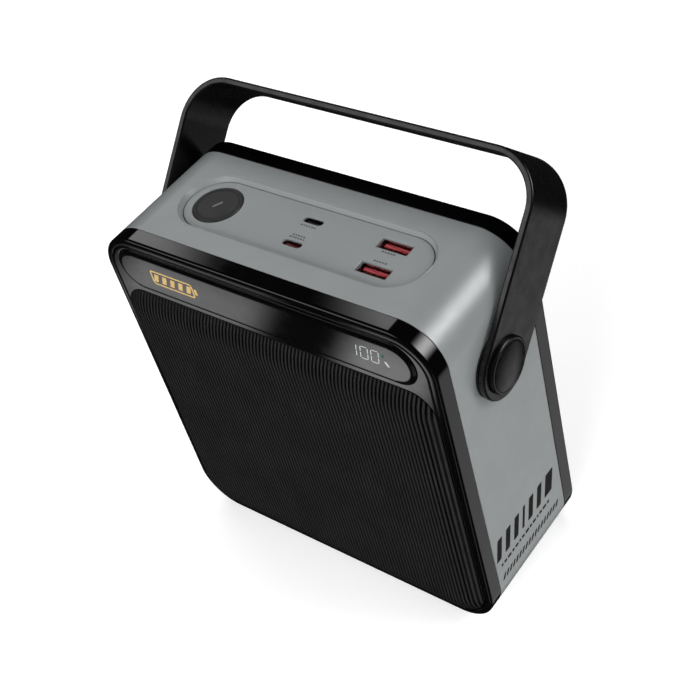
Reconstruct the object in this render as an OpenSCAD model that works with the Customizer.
// Portable power station: a rounded box with a grey wrap-around band, black
// front and rear bezels with ribbed panels, a port bay and power button on
// top, and a strap handle that turns on two side pivots.
// X runs to the right, -Y is the front, +Z is up. The origin is on the
// surface that the rubber base pad stands on, under the middle of the case.

/* [Body] */
// Width of the case
body_w = 160; // [156:1:170]
// Height of the case without the base pad
body_h = 164; // [162:1:180]
// Corner radius of the case, seen from the front
corner_r = 18; // [17:0.5:22]
// Depth of the grey band
band_d = 51.2; // [50:0.2:60]
// Wall thickness of the band
wall = 2.4; // [2:0.1:3]
// How far the rubber base pad stands out below the case
pad_h = 1.2; // [0.6:0.1:2]

/* [Front and rear] */
// Depth of each black bezel
bezel_d = 7.7; // [7.4:0.1:8]
// Width of the bezel's visible rim
rim_w = 3.2; // [3:0.1:4]
// Rounding of the bezel's outer edge
rim_round = 2.4; // [1:0.1:2.8]
// Height of the ribbed panel's upper edge on the front
grille_top = 137; // [130:1:137]
// How far the ribbed panel stands in front of the glossy plate
grille_proud = 4; // [3:0.1:4.5]
// Width of the rolled shoulder around the ribbed panel
shoulder_w = 10.7; // [8:0.1:11]
// Distance from one rib to the next
rib_pitch = 1.715; // [1.6:0.005:3]

/* [Display] */
// Half length of the stadium-shaped display lens
lens_half_l = 72; // [68:0.5:73]
// Height of the lens centre above the case bottom
lens_z = 149.4; // [148.5:0.1:150]
// Half height of the lens
lens_r = 9.75; // [9:0.05:10]
// How far the lens stands in front of the glossy plate
lens_proud = 1; // [0.5:0.1:1.5]

/* [Port bay] */
// Half distance between the centres of the bay's round ends
bay_half_l = 43.2; // [43:0.1:48]
// Radius of the bay's ends at the top surface
bay_r = 15.3; // [15:0.1:16]
// Depth of the bay floor under the top surface
bay_depth = 2; // [1.5:0.1:2.2]
// Distance of each port row from the middle
port_row = 6.8; // [6.5:0.1:7.5]
// Radius of the power button
button_r = 10.3; // [9:0.1:10.5]
// Travel of the power button
button_travel = 0.8; // [0.5:0.1:1]

/* [Handle] */
// Height of the handle pivots above the case bottom
pivot_z = 126.2; // [120:0.2:130]
// Distance from the pivot axis to the outside of the grip
handle_reach = 74.4; // [70:0.2:90]
// Width of the strap
strap_w = 28.4; // [26:0.2:30]
// Thickness of the strap
strap_t = 2.8; // [2.6:0.1:3.4]
// Outer radius of the strap's two upper corners
strap_corner = 20; // [16:1:28]
// Gap between the case side and the strap
side_gap = 1.05; // [1:0.05:2]
// Backward tilt of the handle as it stands
handle_tilt = 45; // [0:1:90]

/* [Battery] */
// Diameter of one cell
cell_d = 21.2; // [18:0.1:21.4]
// Length of one cell
cell_l = 70; // [65:0.5:71]
// Distance from one cell centre to the next
cell_pitch = 21.8; // [21.7:0.1:22]

/* [Hidden] */
$fn = 64;
eps = 0.01;
CELLS = 12;

// Case levels, as heights above the standing surface
half_w = body_w / 2;
z_low = pad_h;
z_top = pad_h + body_h;
z_pivot = pad_h + pivot_z;
half_band = band_d / 2;
seam = 0.15;
pad_half = 42;
pad_r = 15;
pad_sunk = 0.8;

// Front levels, as distances from the middle of the case
flange_t = 2.2;
flange_in = 6.4;
flange_out = half_band + flange_t;
ledge_t = 4.4;
ledge_in = 5.6;
ledge_out = half_band + ledge_t;
lip_t = 1.6;
lip_l = 4;
plate_out = half_band + bezel_d;
rim_out = plate_out;
plate_half_w = half_w - rim_w - seam;
plate_r = corner_r - rim_w - seam;
grille_half_w = plate_half_w - 0.5;
grille_out = plate_out + grille_proud;
grille_low = z_low + rim_w + seam + 0.5;
grille_high = z_top - rim_w - seam - 0.5;
grille_corner = 11.5;
shoulder_r = (pow(shoulder_w, 2) + pow(grille_proud, 2)) / (2 * grille_proud);
lens_high = z_low + lens_z;
lens_bevel = 1.4;
lens_back = plate_out - 1.2;
window_x = [38, 64];
window_half_h = 6.4;
display_out = half_band + 1.5;

// Screw posts inside the case: two at each upper and lower corner, two at mid height
post_r = 3.2;
post_hole_r = 1.2;
post_in = 9.2;
mid_post = [5, 78];
posts = [for (sx = [-1, 1], p = [[post_in, post_in], [post_in, body_h - post_in], mid_post])
    [sx * (half_w - p[0]), z_low + p[1]]];
peg_r = 1.5;
peg_x = 60;
front_pegs = [for (sx = [-1, 1], z = [20, 68, 118]) [sx * peg_x, z_low + z]];
rear_pegs = [for (sx = [-1, 1], z = [20, 82, 144]) [sx * peg_x, z_low + z]];

// Port bay levels
z_floor = z_top - bay_depth;
bay_floor_r = bay_r - 1;
z_plate_low = z_floor - wall;
z_port_board = z_floor - 14;
port_board_size = [116, 31];
board_t = 1.6;
usb_a_x = 38;
usb_c_x = 0;
button_x = -bay_half_l;
usb_a_hole = [14, 5.6];
usb_a_out = [13.2, 5.3];
usb_a_in = [12.6, 4.7];
usb_c_hole_r = 1.65;
usb_c_out_r = 1.55;
usb_c_in_r = 1.27;
usb_c_half = 2.9;
pillars = [for (x = [-24, 18], sy = [-1, 1]) [x, sy * 11]];
button_top = z_floor + 0.4;
well_depth = 4.5;
well_out_r = 13.2;
well_in_r = 12.1;
stem_r = 1.8;
skirt_r = 8.9;
catch_r = 11.9;
catch_top = z_plate_low - 0.3;
catch_low = catch_top - 1.4;
switch_top = z_port_board + 3.5;
plunger_top = switch_top + 1;
plunger_l = 2.2;
plunger_r = 1.7;
spring_wire = 0.6;
spring_r = 5;
spring_turns = 4;

// Handle
arm_in = half_w + side_gap;
arm_out = arm_in + strap_t;
bolt_r = 4.95;
arm_hole_r = 5;
head_t = 1.1;
cap_r = 11.3;
cap_side = 1.6;
cap_dome = 1.1;
cap_peg_at = 9.6;
cap_peg_angles = [90, 210, 330];
dome_r = (pow(cap_r - 0.3, 2) + pow(cap_dome, 2)) / (2 * cap_dome);
hub_low = 70;
nut_t = 4;

// Battery pack
cols = CELLS / 2;
z_cell = z_low + 6.3;
holder_l = cols * cell_pitch + 3;
holder_w = 2 * cell_pitch + 2.4;
z_pack_top = z_cell + cell_l + 3.7;
tie_x = [-2 * cell_pitch, 0, 2 * cell_pitch];
z_main = z_pack_top + 8;
lead_r = 1.2;
board_size = [124, 42];
standoffs = [for (sx = [-1, 1], sy = [-1, 1]) [sx * 57, sy * 17]];
inductors = [for (i = [0:2]) [-36 + 16 * i, 8]];
cans = [for (i = [0:2]) [14 + 12 * i, 10]];
chips = [[-30, -10, 9], [-10, -11, 7], [12, -9, 10], [34, -11, 6]];
holder_ribs = [-40, 0, 40];
strip_t = 0.3;
strip_end = holder_l / 2 + 0.4;
tab_w = 8;

// ---- shared shapes ---------------------------------------------------

// Turns a drawing in X and Z into a slab whose thickness runs forwards (-Y)
module forward(from, to) {
    translate([0, -from, 0]) rotate([90, 0, 0]) linear_extrude(to - from) children();
}

// Puts the front's parts on the rear, turned half round
module on_rear() {
    rotate([0, 0, 180]) children();
}

// Rectangle from low to high with rounded corners, upper and lower radii apart
module rounded_box(half, low, high, r_top, r_low) {
    for (sx = [-1, 1]) {
        translate([sx * (half - r_top), high - r_top]) circle(r_top);
        translate([sx * (half - r_low), low + r_low]) circle(r_low);
    }
    polygon([
        [-half, low + r_low], [-half + r_low, low],
        [half - r_low, low], [half, low + r_low],
        [half, high - r_top], [half - r_top, high],
        [-half + r_top, high], [-half, high - r_top]]);
}

module stadium(half_straight, r) {
    square([2 * half_straight, 2 * r], center = true);
    for (sx = [-1, 1]) translate([sx * half_straight, 0]) circle(r);
}

// Runs a profile round a rounded rectangle. The profile is drawn with x = 0
// on the outline and x < 0 inside it, and y as the distance forwards.
module edge_run(half, low, high, r_top, r_low) {
    rotate([90, 0, 0]) {
        for (c = [[1, high, r_top, 0], [-1, high, r_top, 90],
                  [-1, low, r_low, 180], [1, low, r_low, 270]]) {
            inward = c[3] < 180 ? -c[2] : c[2];
            translate([c[0] * (half - c[2]), c[1] + inward, 0])
                rotate([0, 0, c[3]])
                    rotate_extrude(angle = 90) translate([c[2], 0]) children();
        }
        side_l = high - low - r_top - r_low;
        if (side_l > eps) for (sx = [0, 1]) mirror([sx, 0, 0])
            translate([half, high - r_top, 0]) rotate([90, 0, 0])
                linear_extrude(side_l) children();
        translate([-(half - r_top), high, 0]) rotate([0, 0, 90]) rotate([90, 0, 0])
            linear_extrude(2 * (half - r_top)) children();
        translate([half - r_low, low, 0]) rotate([0, 0, 270]) rotate([90, 0, 0])
            linear_extrude(2 * (half - r_low)) children();
    }
}

module side_disc(r, from, to) {
    translate([from, 0, z_pivot]) rotate([0, 90, 0]) cylinder(h = to - from, r = r);
}

// ---- case -------------------------------------------------------------

module case_outline(inset = 0) {
    rounded_box(half_w - inset, z_low + inset, z_top - inset, corner_r - inset, corner_r - inset);
}

// Opening of the port bay: its wall leans outwards towards the top
module bay_cut() {
    translate([0, 0, z_floor - 2]) linear_extrude(4) stadium(bay_half_l, bay_floor_r);
    for (sx = [-1, 1]) translate([sx * bay_half_l, 0, z_floor])
        cylinder(h = bay_depth + eps, r1 = bay_floor_r, r2 = bay_r);
    translate([-bay_half_l, 0, z_floor]) rotate([90, 0, 90]) linear_extrude(2 * bay_half_l)
        polygon([[-bay_floor_r, 0], [bay_floor_r, 0],
                 [bay_r, bay_depth + eps], [-bay_r, bay_depth + eps]]);
}

module body_shell() {
    color([0.52, 0.54, 0.54]) difference() {
        union() {
            difference() {
                forward(-half_band, half_band) case_outline();
                forward(-half_band - 1, half_band + 1) case_outline(wall);
            }
            for (p = posts) translate([p[0], half_band, p[1]]) rotate([90, 0, 0])
                cylinder(h = band_d, r = post_r);
            for (side = [-1, 1]) mirror([side < 0 ? 1 : 0, 0, 0])
                side_disc(8, hub_low, half_w - wall + 0.2);
        }
        bay_cut();
        for (p = posts, end = [0, 1]) mirror([0, end, 0])
            translate([p[0], -half_band - eps, p[1]]) rotate([-90, 0, 0])
                cylinder(h = 12, r = post_hole_r);
        side_disc(3.05, -half_w - 1, half_w + 1);
        translate([0, 0, z_low - eps]) linear_extrude(pad_sunk + eps)
            stadium(pad_half, pad_r + 0.1);
    }
}

// Bezel ring: rounded rim outside, a lip that enters the band, a ledge for
// the glossy plate, and ears for the screws
module bezel_ring() {
    difference() {
        union() {
            edge_run(half_w, z_low, z_top, corner_r, corner_r) {
                union() {
                    translate([-rim_w, half_band]) square([rim_w, bezel_d - rim_round]);
                    translate([-rim_w, half_band]) square([rim_w - rim_round, bezel_d]);
                    intersection() {
                        translate([-rim_round, rim_out - rim_round]) circle(rim_round);
                        translate([-rim_w, rim_out - rim_round]) square(rim_w);
                    }
                    translate([-flange_in, half_band]) square([flange_in - rim_w + 1, flange_t]);
                    translate([-ledge_in, half_band]) square([ledge_in - rim_w + 1, ledge_t]);
                    translate([-wall - seam - lip_t, half_band - lip_l]) square([lip_t, lip_l + 1]);
                }
            }
            for (p = posts) translate([p[0], -half_band, p[1]]) rotate([90, 0, 0])
                cylinder(h = flange_t, r = post_r + 1.4);
        }
        for (p = posts) translate([p[0], 0, p[1]]) rotate([90, 0, 0]) {
            cylinder(h = half_band, r = post_r + 0.3);
            cylinder(h = flange_out + 1, r = 1.6);
            translate([0, 0, flange_out]) cylinder(h = 3, r = 3.2);
        }
    }
}

module front_bezel() { color([0.02, 0.02, 0.02]) bezel_ring(); }
module rear_bezel() { color([0.02, 0.02, 0.02]) on_rear() bezel_ring(); }

module plate_blank(pegs) {
    difference() {
        forward(ledge_out, plate_out)
            rounded_box(plate_half_w, z_low + rim_w + seam, z_top - rim_w - seam, plate_r, plate_r);
        for (p = pegs) translate([p[0], 0, p[1]]) rotate([90, 0, 0])
            cylinder(h = plate_out + 1, r = peg_r + 0.05);
    }
}

module front_plate() {
    color([0.02, 0.02, 0.02]) difference() {
        plate_blank(front_pegs);
        forward(lens_back, plate_out + 1) translate([0, lens_high])
            stadium(lens_half_l - lens_r, lens_r + 0.08);
        forward(ledge_out - 1, plate_out) translate([window_x[0], lens_high - window_half_h])
            square([window_x[1] - window_x[0], 2 * window_half_h]);
    }
}

module rear_plate() { color([0.02, 0.02, 0.02]) on_rear() plate_blank(rear_pegs); }

// Ribbed panel: a flat field with a rolled shoulder all round, pegs behind,
// and upright grooves between the ribs
module ribbed_panel(high, r_top, pegs) {
    field = 0.2;
    groove_w = 0.5;
    groove_d = 0.35;
    count = floor((grille_half_w - shoulder_w) / rib_pitch);
    difference() {
        union() {
            edge_run(grille_half_w, grille_low, high, r_top, plate_r) {
                intersection() {
                    translate([-shoulder_w, grille_out - shoulder_r]) circle(shoulder_r, $fn = 128);
                    translate([-shoulder_w, plate_out]) square([shoulder_w, grille_proud]);
                }
            }
            forward(plate_out, grille_out) rounded_box(
                grille_half_w - shoulder_w + field, grille_low + shoulder_w - field,
                high - shoulder_w + field, r_top - shoulder_w + field, plate_r - shoulder_w + field);
            for (p = pegs) translate([p[0], -ledge_out, p[1]]) rotate([90, 0, 0])
                cylinder(h = grille_proud + 1, r = peg_r);
        }
        for (i = [-count:count])
            translate([(i + 0.5) * rib_pitch - groove_w / 2, -grille_out - 1, grille_low])
                cube([groove_w, 1 + groove_d, high - grille_low]);
    }
}

module front_grille() {
    color([0.05, 0.05, 0.05]) ribbed_panel(z_low + grille_top, grille_corner, front_pegs);
}

module rear_grille() {
    color([0.05, 0.05, 0.05]) on_rear() ribbed_panel(grille_high, plate_r, rear_pegs);
}

// Rubber pad let into the underside, which the station stands on
module base_pad() {
    color([0.08, 0.08, 0.08]) linear_extrude(z_low + pad_sunk) stadium(pad_half, pad_r);
}

// Self-tapping screws that hold both bezels to the posts
module bezel_screws() {
    color("silver") for (p = posts, end = [0, 1]) rotate([0, 0, 180 * end])
        translate([p[0], -flange_out, p[1]]) rotate([90, 0, 0]) {
            difference() {
                cylinder(h = 1.5, r = 2.6);
                translate([0, 0, 0.7]) cylinder(h = 1, r = 1.2, $fn = 6);
            }
            translate([0, 0, -10]) cylinder(h = 10 + eps, r = 1.15);
        }
}

// ---- display ------------------------------------------------------------

module display_lens() {
    color([0.03, 0.03, 0.035]) union() {
        forward(lens_back, plate_out + 0.2) translate([0, lens_high])
            stadium(lens_half_l - lens_r, lens_r);
        edge_run(lens_half_l, lens_high - lens_r, lens_high + lens_r, lens_r, lens_r)
            polygon([[0, plate_out], [0, plate_out + 0.2], [-lens_bevel, plate_out + lens_proud],
                     [-lens_bevel - 0.2, plate_out + lens_proud], [-lens_bevel - 0.2, plate_out]]);
        forward(plate_out, plate_out + lens_proud) translate([0, lens_high])
            stadium(lens_half_l - lens_r, lens_r - lens_bevel - 0.1);
    }
}

module display_module() {
    front = lens_back - 0.1;
    color([0.9, 0.9, 0.88]) translate([window_x[0] + 0.5, -front, lens_high - 6])
        cube([window_x[1] - window_x[0] - 1, front - display_out, 12]);
}

module display_board() {
    margin = 1.5;
    board_h = 15;
    color([0.1, 0.35, 0.2]) translate([window_x[0] - margin, -display_out, lens_high - board_h / 2])
        cube([window_x[1] - window_x[0] + 2 * margin, board_t, board_h]);
}

// Flat ribbon from the display board back to the underside of the port board
module display_ribbon() {
    thick = 0.5;
    ribbon = [46, 10];
    drop = 6;
    run = 12;
    front = -display_out + board_t;
    z_run = z_port_board - drop;
    color([0.85, 0.8, 0.6]) {
        translate([ribbon[0], front, z_run]) cube([ribbon[1], thick, 2 * drop]);
        translate([ribbon[0], front, z_run]) cube([ribbon[1], run, thick]);
        translate([ribbon[0], front + run - thick, z_run]) cube([ribbon[1], thick, drop - board_t]);
    }
}

// ---- port bay -----------------------------------------------------------

module port_plate() {
    color([0.52, 0.54, 0.54]) difference() {
        union() {
            translate([0, 0, z_plate_low]) linear_extrude(wall)
                stadium(bay_half_l, bay_floor_r - 0.1);
            translate([0, 0, z_plate_low]) linear_extrude(z_top - wall - z_plate_low - 0.05)
                stadium(bay_half_l, bay_r + 2);
            for (p = pillars) translate([p[0], p[1], z_port_board])
                cylinder(h = z_plate_low - z_port_board + eps, r = 2.4);
            translate([button_x, 0, z_plate_low - well_depth])
                cylinder(h = well_depth + eps, r = well_out_r);
        }
        translate([button_x, 0, z_plate_low - 5]) cylinder(h = wall + 6, r = button_r + 0.2);
        translate([button_x, 0, z_plate_low - 5]) cylinder(h = 5, r = well_in_r);
        for (row = [-1, 1]) {
            translate([usb_a_x - usb_a_hole[0] / 2, row * port_row - usb_a_hole[1] / 2, z_plate_low - 1])
                cube([usb_a_hole[0], usb_a_hole[1], wall + 2]);
            translate([usb_c_x, row * port_row, z_plate_low - 1]) linear_extrude(wall + 2)
                stadium(usb_c_half, usb_c_hole_r);
        }
        for (p = pillars) translate([p[0], p[1], z_port_board - eps]) cylinder(h = 7, r = 0.9);
    }
}

module port_board() {
    color([0.1, 0.35, 0.2]) difference() {
        translate([-port_board_size[0] / 2, -port_board_size[1] / 2, z_port_board - board_t])
            cube([port_board_size[0], port_board_size[1], board_t]);
        for (p = pillars) translate([p[0], p[1], z_port_board - board_t - 1])
            cylinder(h = board_t + 2, r = 1.2);
    }
}

module port_board_screws() {
    color("silver") for (p = pillars) translate([p[0], p[1], z_port_board - board_t]) {
        translate([0, 0, -1.2]) cylinder(h = 1.2, r = 2);
        translate([0, 0, -eps]) cylinder(h = board_t + 5, r = 0.85);
    }
}

// Folded metal shell of an upright USB-A socket, closed at the board
module usb_a_shell(row) {
    low = z_port_board;
    high = z_floor - 0.9;
    color("silver") translate([usb_a_x, row * port_row, low]) difference() {
        translate([-usb_a_out[0] / 2, -usb_a_out[1] / 2, 0])
            cube([usb_a_out[0], usb_a_out[1], high - low]);
        translate([-usb_a_in[0] / 2, -usb_a_in[1] / 2, 1])
            cube([usb_a_in[0], usb_a_in[1], high - low]);
    }
}

// Red moulded tongue with its root block
module usb_a_tongue(row) {
    low = z_port_board + 1;
    color([0.7, 0.06, 0.07]) translate([usb_a_x, row * port_row, low]) {
        translate([-6.2, -2.3, 0]) cube([12.4, 4.6, 2.2]);
        translate([-5.5, 0.3, 0]) cube([11, 1.9, z_floor - 1.6 - low]);
    }
}

module usb_c_shell(row) {
    low = z_port_board;
    color([0.25, 0.25, 0.26]) translate([usb_c_x, row * port_row, low]) difference() {
        linear_extrude(z_floor - 0.7 - low) stadium(usb_c_half, usb_c_out_r);
        translate([0, 0, 1]) linear_extrude(z_floor - low) stadium(usb_c_half, usb_c_in_r);
    }
}

module usb_c_tongue(row, shade) {
    low = z_port_board + 1;
    color(shade) translate([usb_c_x, row * port_row, low]) {
        linear_extrude(5.5) stadium(usb_c_half, usb_c_in_r - 0.05);
        translate([-3.35, -0.35, 0]) cube([6.7, 0.7, z_floor - 1.4 - low]);
    }
}

// Button cap: flat top with a low raised bar, a catch that keeps it in, and a stem
module power_button() {
    dish = 0.25;
    color([0.06, 0.06, 0.06]) union() {
        translate([button_x, 0, 0]) rotate_extrude() polygon([
            [0, plunger_top + 0.05], [stem_r, plunger_top + 0.05], [stem_r, catch_top - 0.2],
            [skirt_r, catch_top - 0.2], [skirt_r, catch_low], [catch_r, catch_low],
            [catch_r, catch_top], [button_r, catch_top],
            [button_r, button_top - 0.5], [button_r - 0.5, button_top],
            [button_r - 1, button_top], [button_r - 1.6, button_top - dish],
            [0, button_top - dish]]);
        translate([button_x, 0, button_top - dish]) rotate([0, 0, 60])
            cube([4.6, 0.8, 0.4], center = true);
    }
}

// Coil spring round the button stem
module button_spring() {
    low = z_port_board + spring_wire / 2;
    rise = catch_top - 0.2 - spring_wire / 2 - low - 0.02;
    steps = 12;
    sides = 8;
    rings = spring_turns * steps;
    function centre(k) = [spring_r * cos(360 * k / steps), spring_r * sin(360 * k / steps),
        low + 0.02 + (rise - 0.02) * k / rings];
    points = [for (k = [0:rings], s = [0:sides - 1])
        let (c = centre(k), a = 360 * k / steps, b = 360 * s / sides)
        c + spring_wire / 2 * [cos(a) * cos(b), sin(a) * cos(b), sin(b)]];
    sheath = [for (k = [0:rings - 1], s = [0:sides - 1])
        let (n = (s + 1) % sides, p = k * sides, q = p + sides)
        [p + s, p + n, q + n, q + s]];
    start_cap = [[for (s = [0:sides - 1]) sides - 1 - s]];
    end_cap = [[for (s = [0:sides - 1]) rings * sides + s]];
    color("silver") translate([button_x, 0, 0])
        polyhedron(points, concat(sheath, start_cap, end_cap));
}

module tact_switch() {
    side = 6.2;
    bore_low = plunger_top - plunger_l - button_travel - 0.3;
    color([0.15, 0.15, 0.16]) difference() {
        translate([button_x - side / 2, -side / 2, z_port_board])
            cube([side, side, switch_top - z_port_board]);
        translate([button_x, 0, bore_low]) cylinder(h = 3, r = plunger_r + 0.05);
    }
}

module tact_plunger() {
    color([0.85, 0.8, 0.7]) translate([button_x, 0, plunger_top - plunger_l])
        cylinder(h = plunger_l, r = plunger_r);
}

// ---- main board -----------------------------------------------------------

module main_board() {
    color([0.1, 0.35, 0.2]) difference() {
        translate([-board_size[0] / 2, -board_size[1] / 2, z_main])
            cube([board_size[0], board_size[1], board_t]);
        for (p = standoffs) translate([p[0], p[1], z_main - 1]) cylinder(h = board_t + 2, r = 1.7);
    }
}

module power_inductors() {
    side = 12;
    tall = 7;
    color([0.3, 0.3, 0.32]) for (p = inductors) translate([p[0], p[1], z_main + board_t])
        difference() {
            translate([-side / 2, -side / 2, 0]) cube([side, side, tall]);
            translate([0, 0, tall - 1.2]) cylinder(h = 2, r = 3.5);
        }
}

module capacitors() {
    color([0.12, 0.14, 0.3]) for (p = cans) translate([p[0], p[1], z_main + board_t])
        rotate_extrude() polygon([[0, 0], [4.8, 0], [4.8, 1.2], [4.4, 1.6], [4.8, 2],
            [5, 15.6], [4.6, 16], [0, 16]]);
}

module control_chips() {
    color([0.08, 0.08, 0.09]) for (c = chips)
        translate([c[0] - c[2] / 2, c[1] - c[2] / 2, z_main + board_t]) cube([c[2], c[2], 1.2]);
}

module board_screws() {
    color("silver") for (p = standoffs) translate([p[0], p[1], z_main + board_t]) {
        difference() {
            cylinder(h = 1.6, r = 3);
            translate([0, 0, 0.8]) cylinder(h = 1, r = 1.3, $fn = 6);
        }
        translate([0, 0, -8]) cylinder(h = 8 + eps, r = 1.15);
    }
}

// Flat wire harness from the main board up to the port board
module port_harness() {
    plug = [6, 16, 5];
    flat = [1.2, 14];
    tall = z_port_board - board_t - z_main - board_t;
    color([0.85, 0.8, 0.6]) translate([50, 1, z_main + board_t]) {
        for (z = [0, tall - plug[2]]) translate([-plug[0] / 2, -plug[1] / 2, z]) cube(plug);
        translate([-flat[0] / 2, -flat[1] / 2, plug[2]])
            cube([flat[0], flat[1], tall - 2 * plug[2]]);
    }
}

// ---- battery pack -----------------------------------------------------------

function cell_x(i) = (i % cols - (cols - 1) / 2) * cell_pitch;
function cell_y(i) = (i < cols ? -0.5 : 0.5) * cell_pitch;

// One upright cell with its shrink sleeve step and raised positive cap
module cell(i) {
    r = cell_d / 2;
    color([0.1, 0.45, 0.55]) translate([cell_x(i), cell_y(i), z_cell]) rotate_extrude()
        polygon([[0, 0], [r - 0.6, 0], [r, 0.6], [r, cell_l - 2.4], [r - 0.5, cell_l - 1.9],
            [r - 0.5, cell_l - 0.8], [r - 1.6, cell_l - 0.8], [5, cell_l - 0.8], [5, cell_l],
            [0, cell_l]]);
}

// Block of a cell holder, with ribs that reach the front and rear plates
module holder_block(low, high) {
    reach = ledge_out - 0.1;
    translate([-holder_l / 2, -holder_w / 2, low]) cube([holder_l, holder_w, high - low]);
    for (x = holder_ribs) translate([x - 2, -reach, low]) cube([4, 2 * reach, high - low]);
}

module pocket_cuts(low, high, through_low, through_high, strip_low, strip_high) {
    for (i = [0:CELLS - 1]) translate([cell_x(i), cell_y(i), 0]) {
        translate([0, 0, low]) cylinder(h = high - low, r = cell_d / 2 + 0.1);
        translate([0, 0, through_low]) cylinder(h = through_high - through_low, r = 7);
    }
    for (y = [-0.5, 0.5]) translate([-holder_l / 2 - 1, y * cell_pitch - 6.2, strip_low])
        cube([holder_l + 2, 12.4, strip_high - strip_low]);
    for (x = tie_x) translate([x, 0, through_low]) cylinder(h = high - low + 20, r = 1.6);
}

// The lower holder stands on a plinth that fits between the bezels' inner lips
module cell_holder_lower() {
    plinth = [holder_l - 12, 2 * (half_band - 4.2)];
    z_block = z_low + 5.2;
    color([0.75, 0.72, 0.6]) difference() {
        union() {
            difference() {
                holder_block(z_block, z_cell + 8);
                for (end = [0, 180]) rotate([0, 0, end])
                    translate([-body_w / 2, holder_w / 2, z_block - eps])
                        cube([body_w, 20, z_low + 7.2 - z_block]);
            }
            translate([-plinth[0] / 2, -plinth[1] / 2, z_low + wall])
                cube([plinth[0], plinth[1], z_block - z_low - wall + eps]);
        }
        pocket_cuts(z_cell, z_cell + 9, z_low, z_cell + 1, z_cell - 0.35, z_cell + eps);
    }
}

module cell_holder_upper() {
    top = z_cell + cell_l;
    color([0.75, 0.72, 0.6]) difference() {
        union() {
            holder_block(top - 6, z_pack_top);
            for (p = standoffs) translate([p[0], p[1], z_pack_top - 1])
                cylinder(h = z_main - z_pack_top + 1, r = 3);
        }
        pocket_cuts(top - 7, top, top - 7, z_pack_top + 1, top - eps, top + 0.35);
        for (p = standoffs) translate([p[0], p[1], z_main - 9]) cylinder(h = 10, r = 1.2);
    }
}

// Two nickel strips along the cell rows, and a tab that a lead is soldered to
module strips(low, side, y_tab, tab_h) {
    for (y = [-0.5, 0.5]) translate([-strip_end, y * cell_pitch - 6, low])
        cube([2 * strip_end, 12, strip_t]);
    translate([side * (strip_end - strip_t / 2) - strip_t / 2, y_tab - tab_w / 2, low])
        cube([strip_t, tab_w, tab_h]);
}

module busbar_lower() {
    color([0.8, 0.8, 0.78]) strips(z_cell - strip_t - 0.01, -1, -cell_pitch / 2, 12);
}

module busbar_upper() {
    color([0.8, 0.8, 0.78]) strips(z_cell + cell_l + 0.01, 1, cell_pitch / 2, 7);
}

module tie_bolts() {
    low = z_low + wall + 0.2;
    color("silver") for (x = tie_x) translate([x, 0, low]) {
        cylinder(h = z_pack_top - low, r = 1.5);
        translate([0, 0, z_pack_top - low]) cylinder(h = 1.8, r = 3);
    }
}

// Lead from a strip's tab up the end of the pack, over and down to the main board
module lead(side, y, z_from) {
    r = lead_r;
    bend = 3;
    x_end = side * (strip_end + r + 0.02);
    x_in = side * (board_size[0] / 2 - 6);
    z_over = z_main + board_t + 6;
    translate([0, y, 0]) {
        translate([x_end, 0, z_from]) cylinder(h = z_over - bend - z_from, r = r);
        translate([x_end - side * bend, 0, z_over - bend]) elbow(bend, side > 0 ? 0 : 90);
        translate([min(x_in, x_end) + bend, 0, z_over]) rotate([0, 90, 0])
            cylinder(h = abs(x_end - x_in) - 2 * bend, r = r);
        translate([x_in + side * bend, 0, z_over - bend]) elbow(bend, side > 0 ? 90 : 0);
        translate([x_in, 0, z_main + board_t]) cylinder(h = z_over - bend - z_main - board_t, r = r);
    }
}

// Quarter bend of a lead in the XZ plane
module elbow(bend, turn) {
    rotate([90, 0, 0]) rotate([0, 0, turn])
        rotate_extrude(angle = 90) translate([bend, 0]) circle(lead_r);
}

module battery_lead_red() {
    color([0.75, 0.05, 0.05]) lead(1, cell_pitch / 2, z_cell + cell_l + 1);
}

module battery_lead_black() {
    color([0.05, 0.05, 0.05]) lead(-1, -cell_pitch / 2, z_cell + 7.5);
}

// ---- handle -----------------------------------------------------------------

// Sets the handle's parts back from upright about the pivot axis
module tilted() {
    translate([0, 0, z_pivot]) rotate([-handle_tilt, 0, 0]) translate([0, 0, -z_pivot]) children();
}

module strap_outline(outer, r) {
    reach = handle_reach - (arm_out - outer);
    translate([0, z_pivot]) {
        translate([-outer, -strap_w]) square([2 * outer, reach - r + strap_w]);
        translate([-outer + r, reach - r - eps]) square([2 * (outer - r), r + eps]);
        for (sx = [-1, 1]) translate([sx * (outer - r), reach - r]) circle(r);
    }
}

// U-shaped strap with round lower ends, a running hole on each bolt and
// three peg holes for each cap
module handle() {
    color([0.03, 0.03, 0.03]) tilted() difference() {
        intersection() {
            difference() {
                forward(-strap_w / 2, strap_w / 2) strap_outline(arm_out, strap_corner);
                forward(-strap_w, strap_w) strap_outline(arm_in, strap_corner - strap_t);
            }
            translate([-body_w, 0, 0]) rotate([90, 0, 90]) linear_extrude(2 * body_w) {
                translate([0, z_pivot]) circle(strap_w / 2);
                translate([-strap_w / 2, z_pivot]) square([strap_w, handle_reach + 1]);
            }
        }
        side_disc(arm_hole_r, -arm_out - 1, arm_out + 1);
        for (side = [0, 1], a = cap_peg_angles) mirror([side, 0, 0])
            cap_peg(a, arm_out - 1.6, 3, 0.85);
    }
}

module cap_peg(angle, from, len, r) {
    translate([from, cap_peg_at * cos(angle), z_pivot + cap_peg_at * sin(angle)])
        rotate([0, 90, 0]) cylinder(h = len, r = r, $fn = 24);
}

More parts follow.
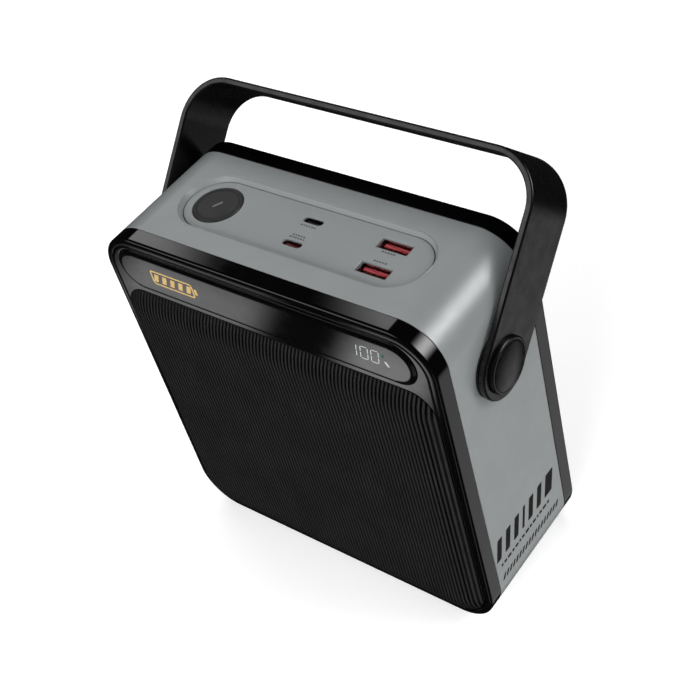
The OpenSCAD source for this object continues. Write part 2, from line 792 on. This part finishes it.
// Domed cap that covers the bolt head and turns with the handle
module hub_cap() {
    base = arm_out;
    color([0.03, 0.03, 0.03]) tilted() union() {
        translate([base, 0, z_pivot]) rotate([0, 90, 0]) rotate_extrude() difference() {
            union() {
                square([cap_r, cap_side - 0.3]);
                translate([0, cap_side - 0.4]) square([cap_r - 0.3, 0.4]);
                intersection() {
                    translate([0, cap_side + cap_dome - dome_r]) circle(dome_r, $fn = 128);
                    translate([0, cap_side - 0.1]) square([cap_r - 0.3, cap_dome + 1]);
                }
            }
            translate([-1, -1]) square([1 + 8.2, 1 + head_t + 0.35]);
        }
        for (a = cap_peg_angles) cap_peg(a, base - 1.4, 1.8, 0.8);
    }
}

module hub_cap_right() { hub_cap(); }
module hub_cap_left() { mirror([1, 0, 0]) hub_cap(); }

// Shoulder bolts: the handle turns on their shoulders, the threads pass through the walls
module pivot_bolts() {
    color("silver") for (side = [0, 1]) mirror([side, 0, 0]) difference() {
        union() {
            side_disc(3, hub_low - nut_t - 1, half_w + 0.2);
            side_disc(bolt_r, half_w, arm_out + 0.15);
            side_disc(7.2, arm_out + 0.12, arm_out + 0.12 + head_t);
        }
        translate([arm_out + head_t - 0.5, 0, z_pivot]) rotate([0, 90, 0])
            cylinder(h = 2, r = 2.6, $fn = 6);
    }
}

// Washer that the strap rubs on, so that the handle stays where it is put
module pivot_washer() {
    color([0.05, 0.05, 0.05]) difference() {
        side_disc(14, half_w, arm_in - 0.1);
        side_disc(bolt_r + 0.04, half_w - 1, arm_in + 1);
    }
}

module pivot_washer_right() { pivot_washer(); }
module pivot_washer_left() { mirror([1, 0, 0]) pivot_washer(); }

module pivot_nuts() {
    color("silver") for (side = [0, 1]) mirror([side, 0, 0]) difference() {
        translate([hub_low - nut_t, 0, z_pivot]) rotate([0, 90, 0])
            cylinder(h = nut_t, r = 5.6, $fn = 6);
        side_disc(3.02, hub_low - nut_t - 1, hub_low + 1);
    }
}

body_shell();
front_bezel();
rear_bezel();
front_plate();
rear_plate();
front_grille();
rear_grille();
display_lens();
display_board();
display_module();
display_ribbon();
port_plate();
port_board();
usb_a_shell(-1);  // usb_a_shell_front
usb_a_shell(1);  // usb_a_shell_rear
usb_a_tongue(-1);  // usb_a_tongue_front
usb_a_tongue(1);  // usb_a_tongue_rear
usb_c_shell(-1);  // usb_c_shell_front
usb_c_shell(1);  // usb_c_shell_rear
usb_c_tongue(-1, [0.45, 0.1, 0.12]);  // usb_c_tongue_front
usb_c_tongue(1, [0.1, 0.1, 0.1]);  // usb_c_tongue_rear
power_button();
button_spring();
tact_switch();
tact_plunger();
port_board_screws();
main_board();
power_inductors();
capacitors();
control_chips();
board_screws();
port_harness();
cell_holder_lower();
cell_holder_upper();
busbar_lower();
busbar_upper();
tie_bolts();
battery_lead_red();
battery_lead_black();
handle();
hub_cap_left();
hub_cap_right();
pivot_bolts();
pivot_washer_left();
pivot_washer_right();
pivot_nuts();
bezel_screws();
base_pad();
for (i = [1:CELLS]) cell(i - 1);
